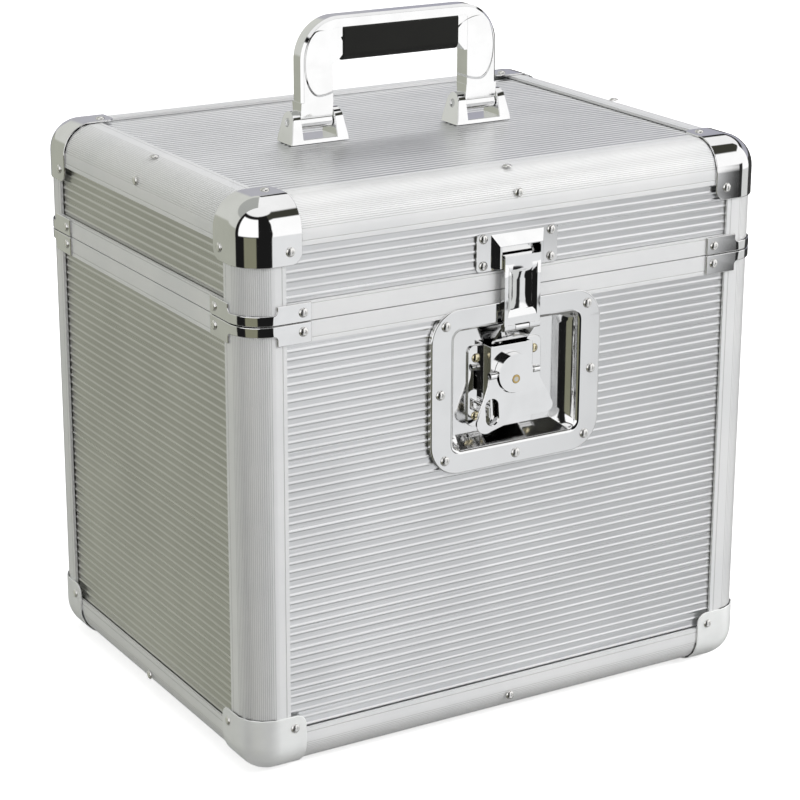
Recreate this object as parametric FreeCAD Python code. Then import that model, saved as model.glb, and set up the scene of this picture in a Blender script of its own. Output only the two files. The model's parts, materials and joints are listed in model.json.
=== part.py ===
import FreeCAD, Part
import math
import os

# Case overall, all sizes in mm
case_width = 361.0
case_depth = 280.0
base_height = 277.1
lid_height = 69.9
foot_stand = 3.0

# Edge extrusion shared by posts and rails
flange_width = 26.0
corner_radius = 19.0
skin = 1.8
channel_floor = 17.4
channel_web = 1.5
inner_wall_face = 9.4
inner_wall_back = 10.6
inner_wall_reach = 22.0
bend_steps = 4
member_gap = 0.2

# Rim rails at the split
split_gap = 0.3
base_rim_height = 12.5
base_rim_web = 2.0
lid_rim_height = 11.4
lid_rim_web = 5.0
tongue_near = 5.0
tongue_far = 6.6
tongue_height = 3.0
groove_near = 4.5
groove_far = 7.1
groove_depth = 3.6

# Ribbed panels
crest_recess = 2.0
rib_height = 0.5
rib_pitch = 4.95
rib_crest = 1.3
rib_foot = 2.1
panel_back = 9.2
panel_edge = 17.6
panel_fit = 0.2

# Lining
lining_face = 10.7
lining_thick = 3.0
lining_rim_gap = 1.0

# Corner caps, braces and rivets
cap_reach = 36.0
cap_core = 9.0
cap_tip_radius = 7.0
cap_rivet = 28.2
plate_gap = 0.1
plate_thick = 1.2
brace_reach = 41.5
brace_notch = 19.5
brace_band = 6.2
brace_notch_radius = 2.5
brace_rivet = 36.0
brace_rivet_height = 5.6
rivet_radius = 2.9
rivet_crown = 1.2
rivet_rise = 1.4
rivet_sides = 6
rail_rivet = 13.0

# Rubber feet
foot_radius_low = 7.0
foot_radius_high = 9.0
foot_inset = 46.0
foot_sides = 12

# Latch, with heights measured from the hub's axis, which lies below the split
hub_drop = 53.6

# Latch dish
dish_drop = 5.0
dish_width = 120.0
dish_tall = 102.0
dish_corner = 20.0
mouth_width = 89.0
mouth_tall = 75.0
pan_corner = 6.0
floor_width = 78.5
floor_tall = 64.5
floor_depth = 13.5
dish_hole_gap = 1.0
dish_lip_stop = 0.15
notch_half = 14.0
notch_low = 26.5
notch_high = 40.0
notch_depth = 5.0
dish_rivet_x = 50.0
dish_rivet_z = 41.5
dish_rivet_mid = 53.5
dish_rivet_low = 45.0
latch_rivet_radius = 3.1

# Latch bracket
bracket_low = -33.5
bracket_high = 17.0
bracket_half = 26.0
bracket_corner = 4.0
hat_half = 15.0
hat_depth = 4.5
bracket_thick = 1.4
bracket_rivet_x = 20.6
bracket_rivet_high = 9.3
bracket_rivet_low = -27.0

# Latch hub and crank pin
hub_radius = 12.0
hub_front = 0.6
hub_back = 4.2
boss_radius = 7.5
boss_back = 6.9
boss_fit = 0.06
crank_offset = 3.6
crank_radius = 2.8
crank_proud = 0.9
crank_back = 9.3

# Latch wing and its pins
wing_pivot_depth = 1.8
wing_thick = 1.6
wing_knuckle = 2.2
wing_knuckle_in = 13.3
wing_tip = 17.5
wing_cut_radius = 12.7
wing_right_edge = ((18.4, -5.5), (21.1, -10.4), (25.3, -17.2))
wing_right_lobe = (23.9, -24.3)
wing_right_radius = 4.1
wing_lower_edge = ((4.2, -29.1), (-6.2, -31.8))
wing_left_lobe = (-19.6, -28.7)
wing_left_radius = 6.7
wing_left_edge = ((-24.6, -22.5), (-21.1, -14.4), (-18.3, -6.3))
wing_pin_radius = 1.1
wing_pin_fit = 0.05
wing_pin_in = 9.0
wing_pin_out = 17.3
wing_slot_x = -15.6
wing_slot_z = -22.6
wing_slot_radius = 4.7
wing_slot_half = 3.9
wing_slot_lean = 4.0

# Padlock staple
staple_x = -17.0
staple_strip = 2.0
staple_half = 2.6
staple_front = 1.5
staple_seat = 0.1

# Latch slider
slider_depth = 8.1
slider_thick = 1.6
slider_half = 12.0
slider_low = -18.5
slider_bend = 17.5
slider_shelf_z = 29.0
slider_shelf_out = 1.5
slider_tongue_z = 30.0
slider_tongue_out = 3.0
slot_spare = 0.85
slot_end_spare = 0.35

# Hook arm
pivot_height = 30.6
pivot_out = 4.2
arm_knuckle = 2.3
arm_knuckle_in = 5.0
slider_knuckle_half = 4.7
hook_pin_radius = 1.1
hook_pin_fit = 0.05
hook_room = 0.4
arm_half = 12.6
arm_back = 4.5
arm_front = 5.9
arm_low = 32.4
arm_top = 74.3
arm_cup_half = 10.2
arm_cup_low = 37.0
arm_cup_high = 68.6
arm_cup_slope_side = 3.7
arm_cup_slope_end = 6.0
arm_cup_depth = 2.2
arm_cup_wall = 0.9
arm_side = 1.3
arm_side_back = 1.8
arm_side_low = 35.5
arm_side_high = 62.0
arm_lip_half = 11.5
arm_lip_thick = 1.4
arm_tab_back = 0.7
arm_tab_front = 1.9
arm_tab_low = 71.2

# Keeper on the lid
keeper_half = 28.3
keeper_low = 65.3
keeper_high = 88.1
keeper_corner = 2.5
keeper_back_out = -1.9
keeper_front_out = -0.7
hood_base_half = 20.0
hood_face_half = 15.0
hood_out = 4.1
hood_low = 67.0
hood_high = 85.5
hood_brow = 81.2
hood_wall = 1.1
window_half = 13.6
window_low = 72.3
window_high = 80.0
keeper_rivet_x = 23.7
keeper_rivet_low = 68.9
keeper_rivet_high = 85.1

# Rear hinges
hinge_inset = 80.5
hinge_half = 30.0
hinge_leaf_base = 11.6
hinge_leaf_lid = 10.8
hinge_leaf_gap = 0.4
barrel_out = 3.3
barrel_radius = 2.6
barrel_clear = 0.3
knuckle_count = 3
knuckle_gap = 0.3
hinge_pin_radius = 1.5
hinge_pin_fit = 0.06
stop_tab_low = 6.0
stop_tab_high = 4.6
stop_tab_out = 7.0
stop_lug_out = 5.2
stop_lug_in = 2.2
stop_lug_thick = 1.4
stop_lug_lean = 58.0
hinge_rivet_x = 20.0
hinge_rivet_z = 6.9

# Handle
handle_half = 70.5
handle_top = 76.5
handle_radius = 26.0
handle_inner_half = 48.5
handle_strap = 7.0
handle_inner_radius = 1.8
handle_depth = 12.0
handle_edge = 1.6
neck_depth = 8.6
neck_top = 25.0
pivot_rise = 12.8
knuckle_radius = 5.2
knuckle_half = 11.2
handle_pin_radius = 2.5
handle_pin_fit = 0.06
handle_pin_half = 17.4
seat_web_half = 42.0
seat_web_depth = 5.0
seat_web_low = 54.0
grip_half = 46.5
grip_depth = 14.0
grip_low = 48.5
grip_gap = 0.1
grip_edge = 5.0
grip_slot_fit = 0.15
shoe_centre = 59.5
shoe_base_half = 20.3
shoe_top_half = 16.8
shoe_high = 20.0
shoe_depth = 19.0
shoe_floor = 3.0
shoe_gap_half = 11.7
shoe_crown = 7.2
shoe_skirt = 3.5
shoe_edge = 0.8

# One overrun for every cut that must pass right through, and the reach for finding an edge at a point
over = 40.0
touch = 0.01

# Heights and faces worked out from the sizes above
bottom_z = foot_stand
split_z = bottom_z + base_height
top_z = split_z + lid_height
front_y = -case_depth / 2
rear_y = case_depth / 2
side_x = case_width / 2
member_start = flange_width + member_gap
lid_face_z = top_z - crest_recess
hub_z = split_z - hub_drop

X = FreeCAD.Vector(1, 0, 0)
Y = FreeCAD.Vector(0, 1, 0)
Z = FreeCAD.Vector(0, 0, 1)
HERE = FreeCAD.Vector(0, 0, 0)


# Small tools for making and placing shapes
def vec(x, y, z):
    return FreeCAD.Vector(x, y, z)


def block(x0, x1, y0, y1, z0, z1):
    return Part.makeBox(x1 - x0, y1 - y0, z1 - z0, vec(x0, y0, z0))


def prism(points, sweep):
    outline = Part.makePolygon(points + points[:1])
    return Part.Face(outline).extrude(sweep)


def rod(radius, start, sweep):
    return Part.makeCylinder(radius, sweep.Length, start, sweep)


def tapered(near, far):
    outlines = [near, far]
    for i in range(len(near)):
        outlines.append([near[i - 1], near[i], far[i], far[i - 1]])
    faces = [Part.Face(Part.makePolygon(points + points[:1])) for points in outlines]
    shell = Part.Shell(faces)
    shell.sewShape()
    solid = Part.makeSolid(shell)
    if solid.Volume < 0:
        solid.reverse()
    return solid


def ring(centre, out, radius, sides):
    turn = FreeCAD.Rotation(Z, out)
    points = []
    for i in range(sides):
        angle = 2 * math.pi * i / sides
        points.append(centre + turn.multVec(vec(radius * math.cos(angle), radius * math.sin(angle), 0)))
    return points


def parallel_edges(shape, axis):
    found = []
    for edge in shape.Edges:
        run = edge.Vertexes[-1].Point - edge.Vertexes[0].Point
        if run.Length > 0 and run.cross(axis).Length < run.Length * 1e-6:
            found.append(edge)
    return found


def edges_at(edges, point):
    return [e for e in edges if e.distToShape(Part.Vertex(point))[0] < touch]


def rounded_block(x0, x1, y0, y1, z0, z1, radius, axis):
    shape = block(x0, x1, y0, y1, z0, z1)
    return shape.makeFillet(radius, parallel_edges(shape, axis))


def turned(shape, axis, angle, centre=HERE):
    copy = shape.copy()
    copy.rotate(centre, axis, angle)
    return copy


def moved(shape, x, y, z):
    copy = shape.copy()
    copy.translate(vec(x, y, z))
    return copy


def fused(shapes):
    return shapes[0].multiFuse(shapes[1:]).removeSplitter()


def bent_sheet(path, thick, sweep):
    axis = vec(sweep.x, sweep.y, sweep.z).normalize()
    sides = []
    for sign in (1, -1):
        line = []
        for i, point in enumerate(path):
            normals = []
            if i > 0:
                normals.append(axis.cross((point - path[i - 1]).normalize()))
            if i < len(path) - 1:
                normals.append(axis.cross((path[i + 1] - point).normalize()))
            if len(normals) == 1:
                shift = normals[0] * (thick / 2)
            else:
                both = normals[0] + normals[1]
                shift = both * (thick / 2 / (1 + normals[0].dot(normals[1])))
            line.append(point + shift * sign)
        sides.append(line)
    return prism(sides[0] + sides[1][::-1], sweep)


# Corner places, as centre sign in X and Y and the quarter turn that faces them
CORNERS = ((-1, -1, 0), (1, -1, 90), (1, 1, 180), (-1, 1, 270))


def at_corner(shape, corner, height):
    sx, sy, angle = corner
    return moved(turned(shape, Z, angle), sx * side_x, sy * rear_y, height)


def at_wall(shape, wall, height):
    angle = {"front": 0, "right": 90, "rear": 180, "left": 270}[wall]
    place = {"front": (0, front_y), "right": (side_x, 0), "rear": (0, rear_y), "left": (-side_x, 0)}[wall]
    return moved(turned(shape, Z, angle), place[0], place[1], height)


def wall_length(wall):
    return case_width if wall in ("front", "rear") else case_depth


# Room inside a bend along Z, with short flats that stay outside a true arc of this radius
def bend_room(near, far, radius, low, high):
    half = math.pi / 4 / bend_steps
    centre = near + radius
    reach = radius / math.cos(half)
    outline = [vec(far, near, low), vec(far, far, low), vec(near, far, low)]
    for i in range(bend_steps):
        angle = math.pi + (2 * i + 1) * half
        outline.append(vec(centre + reach * math.cos(angle), centre + reach * math.sin(angle), low))
    return prism(outline, vec(0, 0, high - low))


# Edge extrusion with its corner line on the Z axis, and the case inside +X and +Y
def edge_extrusion(length):
    outer = block(0, flange_width, 0, flange_width, 0, length)
    outer = outer.makeFillet(corner_radius, edges_at(parallel_edges(outer, Z), HERE))
    shell = outer.cut(bend_room(skin, flange_width + over, corner_radius - skin, -over, length + over))
    web_start = channel_floor - channel_web
    web_a = block(skin / 2, inner_wall_back, web_start, channel_floor, 0, length)
    web_b = block(web_start, channel_floor, skin / 2, inner_wall_back, 0, length)
    wall_a = block(inner_wall_face, inner_wall_back, inner_wall_face, inner_wall_reach, 0, length)
    wall_b = block(inner_wall_face, inner_wall_reach, inner_wall_face, inner_wall_back, 0, length)
    return fused([shell, web_a, web_b, wall_a, wall_b])


def base_post(corner):
    start = member_start
    return at_corner(edge_extrusion(base_height - split_gap - start), corner, bottom_z + start)


def lid_post(corner):
    return at_corner(edge_extrusion(lid_height - split_gap - member_start), corner, split_z + split_gap)


def bottom_rail(wall):
    length = wall_length(wall) - 2 * member_start
    lying = turned(edge_extrusion(length), vec(1, 1, 1), 120)
    return at_wall(moved(lying, -length / 2, 0, 0), wall, bottom_z)


def top_rail(wall):
    length = wall_length(wall) - 2 * member_start
    lying = moved(turned(edge_extrusion(length), vec(1, 1, 1), 120), -length / 2, 0, 0)
    return at_wall(turned(lying, Y, 180), wall, top_z)


# Rim rails, drawn with Y inward from the outer face and Z up from the split
def base_rim(wall):
    length = wall_length(wall) - 2 * member_start
    low = -base_rim_height
    sweep = vec(length, 0, 0)
    x = -length / 2
    top = -split_gap
    web = top - base_rim_web
    outline = [vec(x, 0, low), vec(x, skin, low), vec(x, skin, web), vec(x, inner_wall_face, web),
               vec(x, inner_wall_face, low), vec(x, inner_wall_back, low), vec(x, inner_wall_back, top),
               vec(x, tongue_far, top), vec(x, tongue_far, tongue_height), vec(x, tongue_near, tongue_height),
               vec(x, tongue_near, top), vec(x, 0, top)]
    return at_wall(prism(outline, sweep), wall, split_z)


def lid_rim(wall):
    length = wall_length(wall) - 2 * member_start
    high = lid_rim_height
    sweep = vec(length, 0, 0)
    x = -length / 2
    low = split_gap
    web = low + lid_rim_web
    outline = [vec(x, 0, low), vec(x, groove_near, low), vec(x, groove_near, groove_depth),
               vec(x, groove_far, groove_depth), vec(x, groove_far, low), vec(x, inner_wall_back, low),
               vec(x, inner_wall_back, high), vec(x, inner_wall_face, high), vec(x, inner_wall_face, web),
               vec(x, skin, web), vec(x, skin, high), vec(x, 0, high)]
    return at_wall(prism(outline, sweep), wall, split_z)


# Ribbed panel, drawn with Y inward from the outer face and the ribs along X
def ribbed_panel(length, low, high):
    x = -length / 2
    flat = crest_recess + rib_height
    count = int((high - low) / rib_pitch)
    first = low + (high - low - (count - 1) * rib_pitch) / 2
    outline = [vec(x, panel_back, low), vec(x, flat, low)]
    for i in range(count):
        z = first + i * rib_pitch
        outline.append(vec(x, flat, z - rib_foot / 2))
        outline.append(vec(x, crest_recess, z - rib_crest / 2))
        outline.append(vec(x, crest_recess, z + rib_crest / 2))
        outline.append(vec(x, flat, z + rib_foot / 2))
    outline += [vec(x, flat, high), vec(x, panel_back, high)]
    return prism(outline, vec(length, 0, 0))


def base_panel(wall):
    high = split_z - split_gap - base_rim_web - panel_fit
    panel = at_wall(ribbed_panel(wall_length(wall) - 2 * panel_edge, bottom_z + panel_edge, high), wall, 0)
    if wall == "front":
        panel = panel.cut(dish_room())
    return panel


def lid_panel(wall):
    low = split_z + split_gap + lid_rim_web + panel_fit
    return at_wall(ribbed_panel(wall_length(wall) - 2 * panel_edge, low, top_z - panel_edge), wall, 0)


def lid_top():
    lying = ribbed_panel(case_width - 2 * panel_edge, -rear_y + panel_edge, rear_y - panel_edge)
    return moved(turned(lying, X, -90), 0, 0, top_z)


def floor_panel():
    return block(-side_x + panel_edge, side_x - panel_edge, front_y + panel_edge, rear_y - panel_edge,
                 bottom_z + crest_recess, bottom_z + panel_back)


# Linings
def base_lining():
    outer = block(-side_x + lining_face, side_x - lining_face, front_y + lining_face, rear_y - lining_face,
                  bottom_z + lining_face, split_z - lining_rim_gap)
    wall = lining_face + lining_thick
    inner = block(-side_x + wall, side_x - wall, front_y + wall, rear_y - wall, bottom_z + wall, split_z + over)
    return outer.cut(inner).cut(dish_room())


def lid_lining():
    outer = block(-side_x + lining_face, side_x - lining_face, front_y + lining_face, rear_y - lining_face,
                  split_z + lining_rim_gap, top_z - lining_face)
    wall = lining_face + lining_thick
    inner = block(-side_x + wall, side_x - wall, front_y + wall, rear_y - wall, split_z - over, top_z - wall)
    return outer.cut(inner)


# Corner cap in the corner frame: three rounded flanges that meet in a thick ball
def cap_room():
    far = cap_reach + over
    room = bend_room(-plate_gap, far, corner_radius + plate_gap, channel_floor, far)
    core = block(cap_core, far, cap_core, far, cap_core, far)
    third = vec(1, 1, 1)
    return fused([core, room, turned(room, third, 120), turned(room, third, 240)])


def corner_cap():
    near = plate_gap + plate_thick
    outer = block(-near, cap_reach, -near, cap_reach, -near, cap_reach)
    outer = outer.makeFillet(corner_radius + near, edges_at(outer.Edges, vec(-near, -near, -near)))
    outer = outer.makeFillet(cap_tip_radius, edges_at(outer.Edges, vec(cap_reach, cap_reach, cap_reach)))
    return outer.cut(cap_room())


def bottom_caps():
    cap = corner_cap()
    return Part.makeCompound([at_corner(cap, corner, bottom_z) for corner in CORNERS])


def top_caps():
    cap = turned(turned(corner_cap(), X, 180), Z, 90)
    return Part.makeCompound([at_corner(cap, corner, top_z) for corner in CORNERS])


# Angle brace below a split corner: two riveted tabs joined by a narrower band round the post
def corner_brace(height):
    near = plate_gap + plate_thick
    outer = block(-near, brace_reach, -near, brace_reach, -height, -split_gap)
    outer = outer.makeFillet(corner_radius + near, edges_at(parallel_edges(outer, Z), vec(-near, -near, -height)))
    inner = bend_room(-plate_gap, brace_reach + over, corner_radius + plate_gap, -over, over)
    notch = block(-over, brace_notch, -over, brace_notch, -over, -brace_band)
    notch_tip = vec(brace_notch, brace_notch, -brace_band)
    level = [e for e in edges_at(notch.Edges, notch_tip) if abs(e.CenterOfMass.z + brace_band) < touch]
    notch = notch.makeFillet(brace_notch_radius, level)
    return outer.cut(inner).cut(notch)


def base_braces():
    brace = corner_brace(base_rim_height - plate_gap)
    return Part.makeCompound([at_corner(brace, corner, split_z) for corner in CORNERS])


def lid_braces():
    brace = turned(turned(corner_brace(lid_rim_height - plate_gap), X, 180), Z, 90)
    return Part.makeCompound([at_corner(brace, corner, split_z) for corner in CORNERS])


# Low rivet head with flat sides, seated on a face
def rivet(point, out, radius=rivet_radius):
    low = ring(point, out, radius, rivet_sides)
    return tapered(low, ring(point + out * rivet_rise, out, rivet_crown, rivet_sides))


def wall_rivets(along, height, stand):
    heads = []
    for wall in ("front", "right", "rear", "left"):
        half = wall_length(wall) / 2
        for s in ((-1, 1) if along > 0 else (0,)):
            head = rivet(vec(s * (half - along), -stand, 0), -Y)
            heads.append(at_wall(head, wall, height))
    return heads


def flat_rivets(height, out, stand):
    heads = []
    for sx in (-1, 1):
        for sy in (-1, 1):
            point = vec(sx * (side_x - cap_rivet), sy * (rear_y - cap_rivet), height)
            heads.append(rivet(point + out * stand, out))
    return heads


def base_rivets():
    near = plate_gap + plate_thick
    heads = wall_rivets(cap_rivet, bottom_z + cap_rivet, near)
    heads += flat_rivets(bottom_z, -Z, near)
    heads += wall_rivets(brace_rivet, split_z - brace_rivet_height, near)
    heads += wall_rivets(0, bottom_z + rail_rivet, 0)
    return Part.makeCompound(heads)


def lid_rivets():
    near = plate_gap + plate_thick
    heads = wall_rivets(cap_rivet, top_z - cap_rivet, near)
    heads += flat_rivets(top_z, Z, near)
    heads += wall_rivets(brace_rivet, split_z + brace_rivet_height, near)
    heads += wall_rivets(0, top_z - rail_rivet, 0)
    for sign in (-1, 1):
        heads.append(rivet(vec(sign * (side_x - rail_rivet), 0, top_z), Z))
        heads.append(rivet(vec(0, sign * (rear_y - rail_rivet), top_z), Z))
    return Part.makeCompound(heads)


# Rubber feet pressed into the floor panel
def feet():
    shapes = []
    for sx in (-1, 1):
        for sy in (-1, 1):
            low = vec(sx * (side_x - foot_inset), sy * (rear_y - foot_inset), 0)
            high = low + vec(0, 0, bottom_z + crest_recess)
            shapes.append(tapered(ring(low, Z, foot_radius_low, foot_sides),
                                  ring(high, Z, foot_radius_high, foot_sides)))
    return Part.makeCompound(shapes)


# Latch dish: riveted flange, drafted pan and a notch where the slider comes out
def dish_outline(width, tall, depth):
    z = hub_z - dish_drop
    return [vec(-width, front_y + depth, z - tall), vec(width, front_y + depth, z - tall),
            vec(width, front_y + depth, z + tall), vec(-width, front_y + depth, z + tall)]


def dish_pan(grow, front_out, depth):
    mouth = dish_outline(mouth_width / 2 + grow, mouth_tall / 2 + grow, -front_out)
    base = dish_outline(floor_width / 2 + grow, floor_tall / 2 + grow, depth)
    pan = tapered(mouth, base)
    slanted = [e for e in pan.Edges if abs(e.Vertexes[0].Point.y - e.Vertexes[1].Point.y) > depth / 2]
    return pan.makeFillet(pan_corner + grow, slanted)


def dish_room():
    grow = plate_thick + dish_hole_gap
    width = mouth_width / 2 + grow
    tall = mouth_tall / 2 + grow
    z = hub_z - dish_drop
    return block(-width, width, front_y, front_y + over, z - tall, z + tall)


def latch_dish():
    z = hub_z - dish_drop
    half = dish_width / 2
    tall = dish_tall / 2
    front = front_y - plate_gap - plate_thick
    flange = rounded_block(-half, half, front, front_y - plate_gap, z - tall, z + tall, dish_corner, Y)
    rim_low = split_z - base_rim_height - dish_lip_stop
    lip = rounded_block(-half, half, front, front_y + crest_recess - plate_gap, z - tall, z + tall,
                        dish_corner, Y)
    inside = rounded_block(-half + plate_thick, half - plate_thick, front - over, front_y + over,
                           z - tall + plate_thick, z + tall - plate_thick, dish_corner - plate_thick, Y)
    lip = lip.cut(inside).cut(block(-half - over, half + over, front_y - plate_gap, front_y + over,
                                    rim_low, rim_low + over))
    near = plate_gap + plate_thick
    outer = dish_pan(plate_thick, near, floor_depth + plate_thick)
    inner = dish_pan(0, near, floor_depth)
    dish = fused([flange, lip, outer]).cut(inner)
    notch = block(-notch_half, notch_half, front - over, front_y + notch_depth,
                  hub_z + notch_low, hub_z + notch_high)
    return dish.cut(notch)


def dish_rivets():
    near = plate_gap + plate_thick
    z = hub_z - dish_drop
    places = [(s * dish_rivet_x, z + t * dish_rivet_z) for s in (-1, 1) for t in (-1, 1)]
    places += [(s * dish_rivet_mid, z) for s in (-1, 1)]
    places += [(0, z - dish_rivet_low)]
    return Part.makeCompound([rivet(vec(x, front_y - near, h), -Y, latch_rivet_radius) for x, h in places])


# Hat bracket on the dish floor, with the bearing hole for the hub
def latch_bracket():
    deck = front_y + hat_depth + bracket_thick / 2
    seat = front_y + floor_depth - bracket_thick / 2
    wall = hat_half - bracket_thick / 2
    low = hub_z + bracket_low
    path = [vec(-bracket_half, seat, low), vec(-wall, seat, low), vec(-wall, deck, low),
            vec(wall, deck, low), vec(wall, seat, low), vec(bracket_half, seat, low)]
    hat = bent_sheet(path, bracket_thick, vec(0, 0, bracket_high - bracket_low))
    outline = rounded_block(-bracket_half, bracket_half, front_y, front_y + over, low,
                            hub_z + bracket_high, bracket_corner, Y)
    hole = rod(boss_radius + boss_fit, vec(0, front_y - over, hub_z), vec(0, over * 2, 0))
    return hat.common(outline).cut(hole)


def bracket_rivets():
    seat = front_y + floor_depth - bracket_thick
    heads = []
    for s in (-1, 1):
        for z in (bracket_rivet_low, bracket_rivet_high):
            heads.append(rivet(vec(s * bracket_rivet_x, seat, hub_z + z), -Y))
    return Part.makeCompound(heads)


def latch_staple():
    z = hub_z + wing_slot_z
    x = staple_x - staple_strip / 2
    seat = front_y + floor_depth - bracket_thick - staple_seat
    bow = front_y + staple_front + staple_strip / 2
    path = [vec(x, seat, z - staple_half), vec(x, bow, z - staple_half),
            vec(x, bow, z + staple_half), vec(x, seat, z + staple_half)]
    return bent_sheet(path, staple_strip, vec(staple_strip, 0, 0))


# Hub with its bearing boss, crank pin and side bores for the wing
def latch_hub():
    z = hub_z
    disc = rod(hub_radius, vec(0, front_y - hub_front, z), vec(0, hub_front + hub_back, 0))
    boss = rod(boss_radius, vec(0, front_y, z), vec(0, boss_back, 0))
    crank = rod(crank_radius, vec(0, front_y - over, z - crank_offset), vec(0, over * 2, 0))
    bore = rod(wing_pin_radius, vec(-over, front_y + wing_pivot_depth, z), vec(over * 2, 0, 0))
    keep = block(-wing_pin_in, wing_pin_in, front_y - over, front_y + over, z - over, z + over)
    return fused([disc, boss]).cut(crank).cut(bore.cut(keep))


def crank_pin():
    z = hub_z - crank_offset
    return rod(crank_radius, vec(0, front_y - crank_proud, z), vec(0, crank_proud + crank_back, 0))


def wing_pins():
    z = hub_z
    y = front_y + wing_pivot_depth
    run = vec(wing_pin_out - wing_pin_in, 0, 0)
    return Part.makeCompound([rod(wing_pin_radius, vec(wing_pin_in, y, z), run),
                              rod(wing_pin_radius, vec(-wing_pin_in, y, z), -run)])


# Latch wing, drawn flat below the hub, with a large lobe on the left for the padlock slot
def latch_wing():
    y = front_y + wing_pivot_depth - wing_thick / 2
    z = hub_z
    right_x, right_z = wing_right_lobe
    left_x, left_z = wing_left_lobe
    outline = [(wing_tip, 0)] + list(wing_right_edge)
    outline += [(right_x + wing_right_radius, right_z), (right_x, right_z - wing_right_radius)]
    outline += list(wing_lower_edge)
    outline += [(left_x, left_z - wing_left_radius), (left_x - wing_left_radius, left_z)]
    outline += list(wing_left_edge) + [(-wing_tip, 0)]
    plate = prism([vec(px, y, z + pz) for px, pz in outline], vec(0, wing_thick, 0))
    lobes = [rod(wing_right_radius, vec(right_x, y, z + right_z), vec(0, wing_thick, 0)),
             rod(wing_left_radius, vec(left_x, y, z + left_z), vec(0, wing_thick, 0))]
    knuckles = []
    for s in (-1, 1):
        start = vec(s * wing_knuckle_in, y + wing_thick / 2, z)
        knuckles.append(rod(wing_knuckle, start, vec(s * (wing_tip - wing_knuckle_in), 0, 0)))
    room = rod(wing_cut_radius, vec(0, y - over, z), vec(0, over * 2, 0))
    bore = rod(wing_pin_radius + wing_pin_fit, vec(-over, y + wing_thick / 2, z), vec(over * 2, 0, 0))
    return fused([plate] + lobes + knuckles).cut(room).cut(bore).cut(wing_slot(y, z))


def wing_slot(y, z):
    ends = [rod(wing_slot_radius, vec(0, y - over, s * wing_slot_half), vec(0, over * 2, 0)) for s in (-1, 1)]
    middle = block(-wing_slot_radius, wing_slot_radius, y - over, y + over, -wing_slot_half, wing_slot_half)
    slot = turned(fused(ends + [middle]), Y, -wing_slot_lean)
    return moved(slot, wing_slot_x, 0, z + wing_slot_z)


# Slider behind the bracket, with the crank slot below and the hook knuckle above
def latch_slider():
    y = front_y + slider_depth
    low = hub_z + slider_low
    path = [vec(-slider_half, y, low), vec(-slider_half, y, hub_z + slider_bend),
            vec(-slider_half, front_y - slider_shelf_out, hub_z + slider_shelf_z)]
    plate = bent_sheet(path, slider_thick, vec(slider_half * 2, 0, 0))
    shift = vec(slider_half - slider_knuckle_half, 0, 0)
    tongue_end = vec(-slider_knuckle_half, front_y - slider_tongue_out, hub_z + slider_tongue_z)
    tongue = bent_sheet([path[1] + shift, path[2] + shift, tongue_end], slider_thick,
                        vec(slider_knuckle_half * 2, 0, 0))
    centre = vec(-slider_knuckle_half, front_y - pivot_out, hub_z + pivot_height)
    knuckle = rod(arm_knuckle, centre, vec(slider_knuckle_half * 2, 0, 0))
    slot_half = crank_offset + slot_end_spare
    slot_tall = crank_radius + slot_spare
    z = hub_z - crank_offset
    slot = block(-slot_half - crank_radius, slot_half + crank_radius, front_y, front_y + over,
                 z - slot_tall, z + slot_tall)
    pin = rod(hook_pin_radius, vec(-over, centre.y, centre.z), vec(over * 2, 0, 0))
    return fused([plate, tongue, knuckle]).cut(slot).cut(pin)


def hook_pin():
    start = vec(-arm_half, front_y - pivot_out, hub_z + pivot_height)
    return rod(hook_pin_radius, start, vec(arm_half * 2, 0, 0))


# Dished middle of the hook arm, drawn as its hollow or, grown by the wall, as its outside
def cup_outline(grow, side, end, depth):
    x = arm_cup_half + grow - side
    y = front_y - arm_front + depth
    low = hub_z + arm_cup_low - grow + end
    high = hub_z + arm_cup_high + grow - end
    return [vec(-x, y, low), vec(x, y, low), vec(x, y, high), vec(-x, y, high)]


def arm_cup(grow):
    deep = cup_outline(grow, arm_cup_slope_side, arm_cup_slope_end, arm_cup_depth + grow)
    return tapered(cup_outline(grow, 0, 0, 0), deep)


# Hook arm: dished strap with side flanges, knuckles below and a turned tab above
def hook_arm():
    front = front_y - arm_front
    back = front_y - arm_back
    plate = block(-arm_half, arm_half, front, back, hub_z + arm_low, hub_z + arm_top)
    sides = []
    for s in (-1, 1):
        x = sorted((s * arm_half, s * (arm_half - arm_side)))
        sides.append(block(x[0], x[1], back, front_y - arm_side_back,
                           hub_z + arm_side_low, hub_z + arm_side_high))
    lip = block(-arm_lip_half, arm_lip_half, back, front_y - arm_tab_back,
                hub_z + arm_top - arm_lip_thick, hub_z + arm_top)
    tab = block(-arm_lip_half, arm_lip_half, front_y - arm_tab_front, front_y - arm_tab_back,
                hub_z + arm_tab_low, hub_z + arm_top)
    knuckles = []
    for s in (-1, 1):
        start = vec(s * arm_knuckle_in, front_y - pivot_out, hub_z + pivot_height)
        knuckles.append(rod(arm_knuckle, start, vec(s * (arm_half - arm_knuckle_in), 0, 0)))
        x = sorted((s * arm_knuckle_in, s * arm_half))
        knuckles.append(block(x[0], x[1], front_y - pivot_out - arm_knuckle, back,
                              hub_z + pivot_height, hub_z + arm_low))
    pin = rod(hook_pin_radius + hook_pin_fit, vec(-over, front_y - pivot_out, hub_z + pivot_height),
              vec(over * 2, 0, 0))
    room = rod(arm_knuckle + hook_room, vec(-arm_knuckle_in, front_y - pivot_out, hub_z + pivot_height),
               vec(arm_knuckle_in * 2, 0, 0))
    strap = fused([plate.cut(room), arm_cup(arm_cup_wall), lip, tab] + sides + knuckles)
    return strap.cut(arm_cup(0)).cut(pin)


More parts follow.
